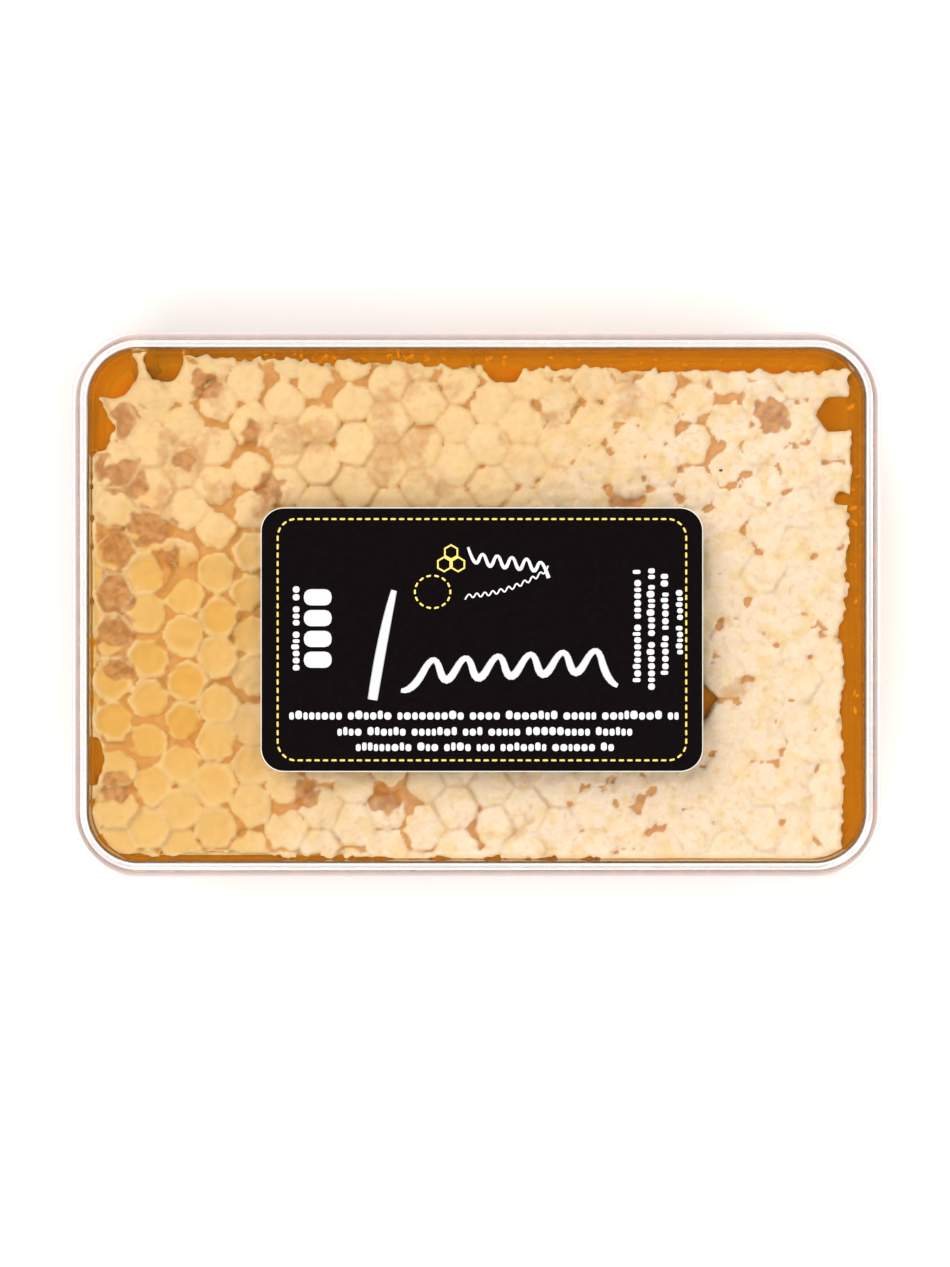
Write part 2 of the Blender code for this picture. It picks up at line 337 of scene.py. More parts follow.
# caps, or parts of caps, that honey has soaked: middle and radius
SOAKED = (
    (-0.0426, 0.0098, 0.0029), (-0.0467, 0.0075, 0.0026), (-0.0472, 0.0018, 0.0028),
    (-0.0472, -0.0035, 0.0026), (-0.0466, -0.0080, 0.0022), (-0.0470, -0.0238, 0.0025),
    (-0.0459, 0.0243, 0.0024), (-0.0461, 0.0165, 0.0026), (-0.0222, -0.0246, 0.0018),
    (-0.0122, -0.0255, 0.0020), (0.0388, 0.0247, 0.0023), (-0.0352, 0.0290, 0.0022),
    (-0.0401, 0.0065, 0.0014), (-0.0489, 0.0182, 0.0017), (-0.0295, 0.0225, 0.0018),
    (-0.0270, 0.0150, 0.0020), (-0.0379, 0.0190, 0.0016),
)
# a cap that the bees finished in rings, and a cell that was left open
RINGED = (-0.0472, -0.0035)
OPEN_MOUTH = (0.0286, -0.0127)


def nearest_cell(place):
    return int(np.argmin(np.hypot(cells[:, 0] - place[0], cells[:, 1] - place[1])))


ringed_cell = nearest_cell(RINGED)
open_cell = nearest_cell(OPEN_MOUTH)


def ripple(points, size, slice_z):
    """Soft noise from about -1 to 1 at each point, with lumps of this size."""
    return np.array([noise.noise(Vector((x / size, y / size, slice_z))) for x, y in points])


def ramp(values, low, high):
    """0 below low, 1 above high, and smooth between."""
    t = np.clip((values - low) / (high - low), 0.0, 1.0)
    return t * t * (3 - 2 * t)


def cell_distances(points, shift=(0.0, 0.0)):
    """Each point's cell, how far it is from the border with the next one, and its place in the pattern."""
    wobble = np.stack([ripple(points, 0.0017, 3.1), ripple(points, 0.0017, 8.6)], axis=1) * 0.00022
    placed = points + wobble - np.array(shift)
    gaps = np.hypot(placed[:, None, 0] - cells[None, :, 0], placed[:, None, 1] - cells[None, :, 1])
    gaps += cell_weight[None, :]
    cell = np.argmin(gaps, axis=1)
    nearest = np.partition(gaps, 1, axis=1)
    return cell, (nearest[:, 1] - nearest[:, 0]) / 2, placed


# ---- Comb: the cut edge -----------------------------------------------------------------------
# The knife left four fairly straight sides, which the tray's walls press on in places. Along them
# the wax is ragged, and where a cell was torn open the edge steps back round it.

inner_x = rim_x - WALL
inner_y = rim_y - WALL
inner_corner = rim_corner - WALL


def past_wall(points, half_x, half_y, corner):
    """How far each point lies outside a rounded rectangle, negative inside."""
    away = np.abs(points) - np.array([half_x - corner, half_y - corner])
    outer = np.hypot(*np.maximum(away, 0.0).T)
    return outer + np.minimum(away.max(axis=1), 0.0) - corner


def past_cut(points):
    """How far each point lies outside the comb, negative inside."""
    x, y = points.T
    top = y - (0.0312 - 0.028 * x + 0.25 * x * x)
    right = x - (0.0478 + 0.0009 * ramp(y, -0.004, 0.012))
    left = -x - (0.0504 - 0.0027 * ramp(y, 0.0185, 0.0215) + 0.0014 * ramp(y, 0.0225, 0.0275))
    bottom = -y - (0.0325 + 0.0009 * ramp(x, -0.04, 0.03))
    rag = 0.0006 * ripple(points, 0.0034, 1.7) + 0.0006 * ripple(points, 0.0012, 5.2)
    rag += 0.0003 * ripple(points, 0.0006, 7.9)
    edge = np.maximum.reduce([top, right, left, bottom]) + rag
    for middle_x, middle_y, reach_x, reach_y in TORN_AWAY:
        side_x = np.abs(x - middle_x) / reach_x
        side_y = np.abs(y - middle_y) / reach_y
        hexagon = np.maximum(side_y, 0.866 * side_x + 0.5 * side_y)
        reach = 0.5 * hexagon + 0.5 * np.hypot(side_x, side_y)
        edge = np.maximum(edge, (1.0 - reach) * min(reach_x, reach_y) + 0.4 * rag)
    return np.maximum(edge, past_wall(points, inner_x - 0.0002, inner_y - 0.0002, inner_corner))


def cut_sheet(spacing):
    """A level sheet of small squares with the comb's outline. Its outermost points lie on the cut."""
    bm = bmesh.new()
    across = math.ceil(2 * inner_x / spacing)
    along = math.ceil(2 * inner_y / spacing)
    bmesh.ops.create_grid(bm, x_segments=across, y_segments=along, size=0.5)
    bmesh.ops.scale(bm, vec=(2 * inner_x, 2 * inner_y, 1.0), verts=bm.verts)
    bm.verts.ensure_lookup_table()
    points = np.array([vert.co[:2] for vert in bm.verts])
    depth = past_cut(points)
    lost = [face for face in bm.faces if sum(depth[vert.index] > 0 for vert in face.verts) > 2]
    bmesh.ops.delete(bm, geom=lost, context="FACES")
    lone = [face for face in bm.faces if sum(edge.is_boundary for edge in face.edges) > 2]
    bmesh.ops.delete(bm, geom=lone, context="FACES")
    keep_largest(bm)
    rim = [vert for vert in bm.verts if vert.is_boundary]
    for _ in range(3):
        points = np.array([vert.co[:2] for vert in rim])
        slope, depth = cut_slope(points)
        for vert, way, gap in zip(rim, slope, depth):
            step = max(min(gap, spacing / 2), -spacing / 2)
            vert.co.x -= step * way[0]
            vert.co.y -= step * way[1]
    next_in = []
    for vert in bm.verts:
        beside_rim = any(edge.other_vert(vert).is_boundary for edge in vert.link_edges)
        if beside_rim and not vert.is_boundary:
            next_in.append(vert)
    bmesh.ops.smooth_vert(bm, verts=next_in, factor=0.5, use_axis_x=True, use_axis_y=True)
    return bm


def keep_largest(bm):
    """Drops crumbs of the sheet that hang on to nothing, and points where two parts only touch."""
    pinched = {vert for vert in bm.verts if sum(edge.is_boundary for edge in vert.link_edges) > 2}
    lost = [face for face in bm.faces if not pinched.isdisjoint(face.verts)]
    bmesh.ops.delete(bm, geom=lost, context="FACES")
    groups = []
    unseen = set(bm.faces)
    while unseen:
        stack = [unseen.pop()]
        group = set(stack)
        while stack:
            for edge in stack.pop().edges:
                for face in edge.link_faces:
                    if face in unseen:
                        unseen.remove(face)
                        group.add(face)
                        stack.append(face)
        groups.append(group)
    groups.sort(key=len)
    spare = [face for group in groups[:-1] for face in group]
    bmesh.ops.delete(bm, geom=spare, context="FACES")


def cut_slope(points):
    """The direction in which past_cut grows fastest at each point, and its value there."""
    reach = 0.00004
    here = past_cut(points)
    slope_x = past_cut(points + (reach, 0)) - here
    slope_y = past_cut(points + (0, reach)) - here
    slope = np.stack([slope_x, slope_y], axis=1)
    return slope / np.maximum(np.hypot(*slope.T), 1e-9)[:, None], here


# ---- Comb: cappings ---------------------------------------------------------------------------
# The layer of caps on top, pressed from soft new wax. On the left the caps lie a little below
# their cells' rims and are golden; to the right they are thicker, paler and run together.

CAP_LAYER = 0.0014
CAP_RELIEF = 0.0004
TOP_SPACING = 0.00029
UNDER_SPACING = 0.00055
cap_z = comb_high.z - CAP_RELIEF


def wax(name, pale_share):
    """Beeswax with honey behind it: golden to cream, brown where a cap leaves a gap, wet in places, with
    painted shade along the grooves between caps.
    """
    paint = Paint(
        name, Specular_IOR_Level=0.20, Subsurface_Weight=0.15, Subsurface_Scale=0.002, Coat_Roughness=0.10
    )
    soaked = paint.mark("soaked")
    patch = paint.cloud(0.0048, 2.0)
    cloud = paint.cloud(0.0026, 2.0)
    smear = paint.cloud(0.0011, 3.0)
    mottle = paint.cloud(0.0005, 2.0)
    pale = paint.step(paint.mark("pale") + (patch - 0.5) * 1.2, 0.10, 0.95) * pale_share
    colour = paint.blend(pale, linear(205, 172, 121), linear(210, 190, 164))
    colour = paint.blend(paint.step(cloud, 0.48, 0.66) * 0.55, colour, linear(203, 173, 111))
    colour = paint.blend(paint.step(smear, 0.52, 0.70) * 0.40, colour, linear(196, 152, 105))
    colour = paint.blend(paint.mark("tint") * 0.25, colour, linear(205, 180, 139))
    colour = paint.blend(paint.mark("zone") * 0.7, colour, linear(198, 160, 89))
    colour = paint.blend(paint.mark("gold"), colour, linear(194, 143, 56))
    # painted shade: the grooves along the cap borders darkened in the colour
    colour = paint.blend(paint.mark("groove_and_shade") * 0.55, colour, linear(179, 130, 76))
    colour = paint.blend(paint.step(mottle, 0.40, 0.62) * 0.10, colour, linear(184, 138, 90))
    brown = paint.blend(paint.step(smear, 0.35, 0.65), linear(148, 88, 32), linear(176, 120, 62))
    colour = paint.blend(paint.step(soaked + (smear - 0.5) * 0.9, 0.10, 0.90) * 0.85, colour, brown)
    gap = paint.step(paint.mark("gap") + (smear - 0.5) * 0.9, 0.15, 0.90)
    colour = paint.blend(gap * 0.80, colour, linear(180, 116, 38))
    colour = paint.blend(paint.mark("rim") * 0.7, colour, linear(206, 177, 124))
    wet = paint.step(soaked + gap * 0.6 + (patch - 0.5) * 0.6, 0.2, 0.9)
    paint.feed(Base_Color=colour, Roughness=0.55 - wet * 0.20 + smear * 0.1, Coat_Weight=wet * 0.20)
    paint.feed(Normal=paint.bump(mottle * 0.4 + cloud, 0.25, 0.0002))
    return paint.material


def cap_heights(points, underside):
    """Height of the cap layer above its mean level, and what the wax is like there."""
    shift = (COLUMN_STEP, ROW_STEP / 2) if underside else (0.0, 0.0)
    cell, to_border, placed = cell_distances(points, shift)
    x, y = points.T
    broad = ripple(points, 0.016, 2.2)
    lumps = ripple(points, 0.0026, 6.4)
    ragged = ripple(points, 0.0012, 9.9)
    patches = ripple(points, 0.0085, 4.4)
    wet_patches = ripple(points, 0.0046, 13.3)
    golden_zone = ramp(-x + 0.004 * broad, 0.024, 0.036) * ramp(0.013 - y + 0.006 * patches, 0.0, 0.006)
    gold = golden_zone * (0.45 + 0.55 * cell_tint[cell]) * (1 - 0.6 * ramp(-y, 0.018, 0.026))
    pale = ramp(x - 0.75 * y, -0.030, 0.034)
    smeared = ramp(x, -0.012, 0.030)

    # each cap is sunken on the left and domed on the right, and tilted its own way
    offset = placed - cells[cell]
    radius = np.hypot(*offset.T)
    dome = 1.0 - (radius / 0.0027) ** 2
    dish = ramp(0.0026 - radius, 0.0, 0.0009)
    height = (cell_tilt[cell] * offset).sum(axis=1)
    height += (0.00016 + 0.00014 * cell_lift[cell]) * (1 - 0.8 * smeared) * (1 - gold) * dome
    height -= 0.00045 * gold * dish
    height += 0.0006 * broad
    height += (0.00026 + 0.00016 * smeared) * lumps
    height += (0.00018 + 0.00012 * smeared) * ragged

    # where a cap is too small for its cell, or sits askew on it, a gap is left along its border
    from_cap = 0.00303 + 0.00040 * smeared + cap_size[cell] - np.hypot(*(offset - cap_shift[cell]).T)
    from_cap += 0.0011 * patches + 0.0006 * lumps + 0.0006 * ragged - 0.00020 * golden_zone
    pits = ramp(ripple(points, 0.0015, 21.3), 0.25, 0.60) * ramp(0.0012 - to_border, 0.0, 0.0008)
    from_cap -= 0.0016 * smeared * pits
    gap = 1.0 - ramp(from_cap, -0.00026, 0.00034)
    height -= 0.00045 * gap
    # along some cap borders runs a shallow groove, and its shade is also painted into the wax's colour as
    # a brown line: painted shade
    groove_and_shade = np.exp(-((to_border / 0.00024) ** 2))
    groove_and_shade *= ramp(lumps + patches, -0.25, 0.40) * (1 - 0.85 * smeared)
    height -= 0.00010 * groove_and_shade * (1 - golden_zone)

    # honey has soaked some caps, and patches of others. Their cells' rims show as thin pale ridges
    wetness = wet_patches + 0.18 * ramp(-x, -0.03, 0.04) - 0.2 * pale + 0.15 * ragged
    soaked = 0.48 * ramp(wetness, 0.20, 0.62)
    soaked *= 1 - 0.8 * ramp(0.012 - y, 0.0, 0.004) * ramp(-x, 0.010, 0.024)
    for middle_x, middle_y, reach in SOAKED:
        from_middle = np.hypot(x - middle_x, y - middle_y) + 0.0012 * ragged + 0.0008 * lumps
        soaked = np.maximum(soaked, ramp(reach - from_middle, -0.0004, 0.0006))
    left_edge = ramp(-x, 0.0385, 0.0430)
    broken = ramp(lumps + ragged, -0.35, 0.35)
    rim = np.exp(-((to_border / 0.00020) ** 2)) * (1 - gap)
    rim *= np.maximum(left_edge, 0.45 * golden_zone * broken)
    height -= 0.00025 * soaked * (1 - smeared)
    height += 0.00030 * rim
    rings = (cell == ringed_cell) * ramp(to_border, 0.0002, 0.0006)
    height += 0.00012 * rings * np.cos(radius / 0.00034)
    mouth = (cell == open_cell) * ramp(to_border, 0.0002, 0.0006) * (not underside)
    height -= 0.0045 * mouth

    # the cut edge is torn down a little, with a pale lip
    edge = past_cut(points)
    height -= 0.00045 * ramp(edge, -0.0005, 0.0)
    lip = ramp(edge, -0.0005, -0.0001)
    marks = {
        "gold": gold * dish,
        "pale": pale,
        "gap": np.maximum(gap * (1 - lip), mouth),
        "soaked": soaked * (1 - lip),
        "rim": np.maximum(rim, lip),
        "tint": cell_tint[cell] * ramp(to_border, 0.0, 0.0005),
        "groove_and_shade": groove_and_shade,
        "zone": golden_zone,
    }
    return height, marks


def cap_layer(spacing, underside):
    """A layer of caps, closed all round. The underside's is turned over."""
    bm = cut_sheet(spacing)
    points = np.array([vert.co[:2] for vert in bm.verts])
    height, marks = cap_heights(points, underside)
    layers = {mark: bm.verts.layers.float.new(mark) for mark in marks}
    level = comb_low.z + CAP_RELIEF if underside else cap_z
    away = -1.0 if underside else 1.0
    for index, vert in enumerate(bm.verts):
        vert.co.z = level + away * height[index]
        for mark, layer in layers.items():
            vert[layer] = marks[mark][index]
    rim = [edge for edge in bm.edges if edge.is_boundary]
    skirt = bmesh.ops.extrude_edge_only(bm, edges=rim)
    for item in skirt["geom"]:
        if isinstance(item, bmesh.types.BMVert):
            item.co.z = level - away * CAP_LAYER
    back = [item for item in skirt["geom"] if isinstance(item, bmesh.types.BMEdge) and item.is_boundary]
    bmesh.ops.triangle_fill(bm, edges=back, use_beauty=False, use_dissolve=False)
    bmesh.ops.recalc_face_normals(bm, faces=bm.faces)
    return bm


cappings = finish_mesh(cap_layer(TOP_SPACING, False), "comb_cappings", wax("capping_wax", 1.0))
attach(cappings, "root")
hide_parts("comb")

under_caps = finish_mesh(cap_layer(UNDER_SPACING, True), "comb_underside", wax("underside_wax", 0.3))
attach(under_caps, "root")
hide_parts("comb")


# ---- Comb: cut cells --------------------------------------------------------------------------
# Between the cappings stand two layers of cells, back to back on a thin midrib. The knife went
# through the outer ones, so each shows as an upright hollow between two wax walls.

MIDRIB = 0.0007
HOLLOW = 0.0016
SIDE_SPACING = 0.00040
SIDE_RINGS = 30

cell_bottom = comb_low.z + CAP_LAYER * 0.8
cell_top = cap_z - CAP_LAYER * 0.8
midrib_z = (cell_bottom + cell_top) / 2

bm = cut_sheet(SIDE_SPACING)
bmesh.ops.delete(bm, geom=bm.faces[:], context="FACES_KEEP_BOUNDARY")
hollow_mark = bm.verts.layers.float.new("gap")
zone_mark = bm.verts.layers.float.new("zone")
rim_mark = bm.verts.layers.float.new("rim")
ring = bm.edges[:]
first_ring = ring
flat = np.array([vert.co[:2] for vert in bm.verts])
slope, _ = cut_slope(flat)
step_back = {}
for layer, shift in enumerate(((0.0, 0.0), (COLUMN_STEP, ROW_STEP / 2))):
    _, to_border, _ = cell_distances(flat, shift)
    step_back[layer] = ramp(to_border, 0.00012, 0.0008)
for vert in bm.verts:
    vert.co.z = cell_top
start = {tuple(place): index for index, place in enumerate(np.round(flat, 7).tolist())}
for level in range(1, SIDE_RINGS + 1):
    height = cell_top + (cell_bottom - cell_top) * level / SIDE_RINGS
    grown = bmesh.ops.extrude_edge_only(bm, edges=ring)
    ring = [item for item in grown["geom"] if isinstance(item, bmesh.types.BMEdge) and item.is_boundary]
    for item in grown["geom"]:
        if isinstance(item, bmesh.types.BMVert):
            item.co.z = height
bm.verts.ensure_lookup_table()
for vert in bm.verts:
    index = start[tuple(np.round(np.array(vert.co[:2]), 7).tolist())]
    layer = 0 if vert.co.z > midrib_z else 1
    from_rib = abs(vert.co.z - midrib_z)
    from_caps = min(cell_top - vert.co.z, vert.co.z - cell_bottom)
    depth = step_back[layer][index]
    depth *= ramp(from_rib, MIDRIB / 2, MIDRIB * 1.6) * ramp(from_caps, 0.0, 0.0008)
    waver = noise.noise(Vector((vert.co.x, vert.co.y, vert.co.z)) / 0.0016)
    inwards = HOLLOW * depth * (1 + 0.2 * waver) + 0.00012 * waver + 0.0002
    inwards += DRAFT * (cell_top - vert.co.z) / rim_z
    vert.co.x -= inwards * slope[index][0]
    vert.co.y -= inwards * slope[index][1]
    vert[hollow_mark] = 0.75 * depth
    vert[zone_mark] = 0.5
    vert[rim_mark] = 1.0 - depth
bmesh.ops.triangle_fill(bm, edges=first_ring, use_beauty=False, use_dissolve=False)
bmesh.ops.triangle_fill(bm, edges=ring, use_beauty=False, use_dissolve=False)
bmesh.ops.recalc_face_normals(bm, faces=bm.faces)
cut_cells = finish_mesh(bm, "comb_cells", wax("cell_wax", 0.0))
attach(cut_cells, "root")
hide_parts("comb")


# ---- Honey ------------------------------------------------------------------------------------
# Clear amber honey that ran out of the cut cells. It wets the tray's floor and stands round the
# comb almost as high as the caps, creeping a little up the walls.

INTO_WALL = 0.00012
MENISCUS = 0.0003

honey_paint = Paint(
    "amber_honey", Base_Color=linear(222, 143, 14), IOR=1.48, Transmission_Weight=0.75, Roughness=0.03
)
honey_paint.feed(Normal=honey_paint.bump(honey_paint.cloud(0.009, 1.0), 0.08, 0.0005))
honey_paint.let_lamps_through(linear(252, 232, 190))
amber = honey_paint.node(
    "ShaderNodeVolumeAbsorption", {}, {"Color": (0.99, 0.88, 0.50, 1.0), "Density": 110.0}
)
honey_paint.tree.links.new(amber.socket, honey_paint.output.inputs["Volume"])

level = honey_high.z
depth_share = (rim_z - level) / rim_z
honey_x = inner_x - DRAFT * depth_share + INTO_WALL
honey_y = inner_y - DRAFT * depth_share + INTO_WALL
honey_draft = DRAFT * (1 - depth_share)
bm = rounded_block(honey_x, honey_y, FLOOR - INTO_WALL, level + MENISCUS, inner_corner, honey_draft)
round_edges(bm, edges_at(bm, FLOOR - INTO_WALL), WALL, 4)
surface = face_at(bm, level + MENISCUS)
for inset, fall in ((0.00025, 0.55), (0.00035, 0.30), (0.00050, 0.15)):
    bmesh.ops.inset_region(bm, faces=[surface], thickness=inset, depth=-fall * MENISCUS)
bmesh.ops.recalc_face_normals(bm, faces=bm.faces)
loose_honey = finish_mesh(bm, "loose_honey", honey_paint.material)
hold_flats(loose_honey)
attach(loose_honey, "root")
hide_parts("honey")


# ---- Wax crumbs -------------------------------------------------------------------------------
# Shreds and flakes of pale wax that broke off under the knife. They float in the honey along the
# cut, with one dark speck of the bees' own gum on the caps.

crumb_dice = np.random.default_rng(5)
bm = bmesh.new()
# where they float: along x from and to, along y from and to, and how many
strips = (
    (-0.022, 0.010, 0.0314, 0.0328, 30),
    (0.010, 0.046, 0.0308, 0.0322, 12),
    (-0.0395, -0.022, 0.0322, 0.0330, 6),
    (0.0490, 0.0500, -0.024, 0.026, 12),
    (-0.0500, -0.0492, 0.018, 0.027, 4),
)
for low_x, high_x, low_y, high_y, count in strips:
    for _ in range(count):
        place = (crumb_dice.uniform(low_x, high_x), crumb_dice.uniform(low_y, high_y))
        size = crumb_dice.uniform(0.00012, 0.00034)
        stretch = crumb_dice.uniform(1.0, 3.2)
        turn = Matrix.Rotation(crumb_dice.uniform(0, math.pi), 4, "Z")
        shape = Matrix.Diagonal((size * stretch, size, size * 0.6, 1.0))
        if float(past_cut(np.array([place]))[0]) < 0.0001:
            continue
        where = Matrix.Translation((*place, level - crumb_dice.uniform(0.0001, 0.0016)))
        bmesh.ops.create_icosphere(bm, subdivisions=1, radius=1.0, matrix=where @ turn @ shape)
for vert in bm.verts:
    place = vert.co / 0.0003
    vert.co += 0.00008 * Vector((noise.noise(place), noise.noise(place + Vector((5.0, 0.0, 0.0))), 0.0))
crumb_wax = Paint("crumb_wax", IOR=1.45, Roughness=0.45, Subsurface_Weight=0.15, Subsurface_Scale=0.001)
shade = crumb_wax.cloud(0.0006)
crumb_wax.feed(Base_Color=crumb_wax.blend(shade, linear(214, 156, 74), linear(236, 196, 120)))
crumbs = finish_mesh(bm, "wax_crumbs", crumb_wax.material)
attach(crumbs, "root")

SPECK = (0.0319, 0.0176)
SPECK_RADIUS = 0.00021
SPECK_RISE = 0.00005
bm = bmesh.new()
speck_height, _ = cap_heights(np.array([SPECK]), False)
place = Matrix.Translation((*SPECK, cap_z + float(speck_height[0]) + SPECK_RISE))
shape = Matrix.Diagonal((1.2, 0.8, 0.7, 1.0))
bmesh.ops.create_icosphere(bm, subdivisions=2, radius=SPECK_RADIUS, matrix=place @ shape)
gum = Paint("bee_gum", Base_Color=linear(46, 40, 28), Roughness=0.5)
speck = finish_mesh(bm, "gum_speck", gum.material)
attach(speck, "root")


# ---- Lid --------------------------------------------------------------------------------------
# The upper half of the box, in the same clear plastic: a flat plate with a raised bead round its
# edge, which keeps a stack from sliding, and a skirt that slips down over the tray's rim.

BEAD = 0.0015
PLATE = 0.0010
RECESS = 0.0007
RECESS_SLOPE = 0.0004
EDGE = 0.0002
INNER_ROUNDING = 0.0003
NEAR = 1e-5

bm = rounded_block(lid_high.x, lid_high.y, lid_low.z, lid_high.z, CORNER)
panel = face_at(bm, lid_high.z)
bmesh.ops.inset_region(bm, faces=[panel], thickness=BEAD)
bmesh.ops.inset_region(bm, faces=[panel], thickness=RECESS_SLOPE, depth=-RECESS)
open_end = face_at(bm, lid_low.z)
bmesh.ops.inset_region(bm, faces=[open_end], thickness=SKIRT_WALL)
hollowed = bmesh.ops.extrude_face_region(bm, geom=[open_end])
bmesh.ops.delete(bm, geom=[open_end], context="FACES_ONLY")
lid_inside = lid_high.z - RECESS - PLATE
for item in hollowed["geom"]:
    if isinstance(item, bmesh.types.BMVert):
        item.co.z = lid_inside
round_edges(bm, edges_at(bm, lid_inside), INNER_ROUNDING, 2)


def inside_edge(vert):
    """How far a point of the lid lies inside its outline."""
    return -past_wall(np.array([vert.co[:2]]), lid_high.x, lid_high.y, CORNER)[0]


top_edges = edges_at(bm, lid_high.z)
outer_top = [edge for edge in top_edges if all(inside_edge(vert) < NEAR for vert in edge.verts)]
round_edges(bm, outer_top, EDGE, 3)
everything = bm.verts[:] + bm.edges[:] + bm.faces[:]
bmesh.ops.bisect_plane(
    bm, geom=everything, dist=1e-7, plane_co=(0, 0, lid_high.z - 3 * EDGE), plane_no=(0, 0, 1)
)
# the outer rounded top edge, where the plastic gets a painted bright band in place of refracted light
edge_light_mask = bm.verts.layers.float.new("edge_light_mask")
for vert in bm.verts:
    vert[edge_light_mask] = float(inside_edge(vert) < EDGE + NEAR and vert.co.z > lid_high.z - EDGE - NEAR)
bmesh.ops.recalc_face_normals(bm, faces=bm.faces)
box_lid = finish_mesh(bm, "box_lid", clear_plastic("lid_plastic", painted_light_edge=True))
hold_flats(box_lid)
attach(box_lid, "root")
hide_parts("lid")


# ---- Label ------------------------------------------------------------------------------------
# A rectangle of paper with rounded corners, printed black up to its pale cut edge, and stuck on the
# lid a little nearer to the front. A dashed yellow frame runs round it. White bars and brush marks
# stand where a pack has its words.

label_low, label_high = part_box("label")
label_middle = (label_low + label_high) / 2
label_top = label_high.z
INK = 0.00003
BARE = 0.00012
SUNK = 0.0002
LABEL_CORNER = 0.0030
PRINTED_CORNER = 0.0029
LARGE_FACE = 2e-6

label_paper = Paint("label_paper", IOR=1.45, Specular_IOR_Level=0.10)
fibre = label_paper.cloud(0.0008, 3.0)
label_paper.feed(Base_Color=label_paper.blend(fibre, linear(10, 5, 6), linear(15, 9, 10)))
label_paper.feed(Roughness=fibre * 0.06 + 0.20)
label_paper.feed(Normal=label_paper.bump(label_paper.cloud(0.0004, 2.0), 0.05, 0.0001))

half_x = (label_high.x - label_low.x) / 2
half_y = (label_high.y - label_low.y) / 2
bm = rounded_block(half_x - BARE, half_y - BARE, label_low.z, label_top, PRINTED_CORNER, segments=10)
bmesh.ops.translate(bm, vec=(label_middle.x, label_middle.y, 0.0), verts=bm.verts)
label = finish_mesh(bm, "label_sheet", label_paper.material, LARGE_FACE)
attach(label, "root")
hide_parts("label")

white_paper = Paint("white_paper", Base_Color=linear(244, 240, 232), Roughness=0.6)
bm = rounded_block(half_x, half_y, label_low.z - SUNK, label_top - SUNK / 2, LABEL_CORNER, segments=10)
bmesh.ops.translate(bm, vec=(label_middle.x, label_middle.y, 0.0), verts=bm.verts)
backing = finish_mesh(bm, "label_backing", white_paper.material, LARGE_FACE)
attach(backing, "root")
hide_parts("label")


def ink(name, colour, worn):
    paint = Paint(name, IOR=1.45, Specular_IOR_Level=0.3)
    grain = paint.cloud(0.0005, 2.0)
    paint.feed(Base_Color=paint.blend(grain, worn, colour), Roughness=grain * 0.1 + 0.4)
    return paint.material


def bar(bm, x, y, length, width, turn=0.0):
    """A bar with round ends, lying on the label, its middle at x, y from the label's own middle."""
    made = bmesh.ops.create_cube(bm, size=1.0)
    bmesh.ops.scale(bm, vec=(length, width, INK), verts=made["verts"])
    edges = [edge for vert in made["verts"] for edge in vert.link_edges if edge.verts[0] == vert]
    rounded = round_edges(bm, upright_edges(edges, INK / 2), min(length, width) * 0.42, 3)
    verts = list({vert for face in rounded["faces"] for vert in face.verts})
    place = Matrix.Translation((label_middle.x + x, label_middle.y + y, label_top + INK / 2))
    bmesh.ops.transform(bm, matrix=place @ Matrix.Rotation(turn, 4, "Z"), verts=verts)


FRAME_INSET_X = 0.0022
FRAME_INSET_Y = 0.00150
FRAME_CORNER = 0.0024
DASH = 0.00072
DASH_WIDTH = 0.00026
DASH_GAP = 0.00038
frame_x = half_x - FRAME_INSET_X
frame_y = half_y - FRAME_INSET_Y
straight_x = 2 * (frame_x - FRAME_CORNER)
straight_y = 2 * (frame_y - FRAME_CORNER)
arc = math.pi / 2 * FRAME_CORNER
around = 2 * (straight_x + straight_y) + 4 * arc
dashes_round = round(around / (DASH + DASH_GAP))


def frame_point(travelled):
    """Place and direction on the dashed frame, this far round it from the middle of its right side."""
    straights = (straight_y / 2, straight_x, straight_y, straight_x, straight_y / 2)
    x, y, heading = frame_x, 0.0, math.pi / 2
    for run in range(9):
        curved = run % 2 == 1
        length = arc if curved else straights[run // 2]
        here = min(travelled, length)
        if curved:
            swing = here / FRAME_CORNER
            x += FRAME_CORNER * (math.sin(heading + swing) - math.sin(heading))
            y += FRAME_CORNER * (math.cos(heading) - math.cos(heading + swing))
            heading += swing
        else:
            x += here * math.cos(heading)
            y += here * math.sin(heading)
        travelled -= length
        if travelled <= 0:
            break
    return x, y, heading


bm = bmesh.new()
for dash in range(dashes_round):
    x, y, heading = frame_point(around * dash / dashes_round)
    bar(bm, x, y, DASH, DASH_WIDTH, heading)
dashes = finish_mesh(bm, "label_dashes", ink("yellow_ink", linear(250, 226, 110), linear(236, 208, 92)))
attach(dashes, "root")

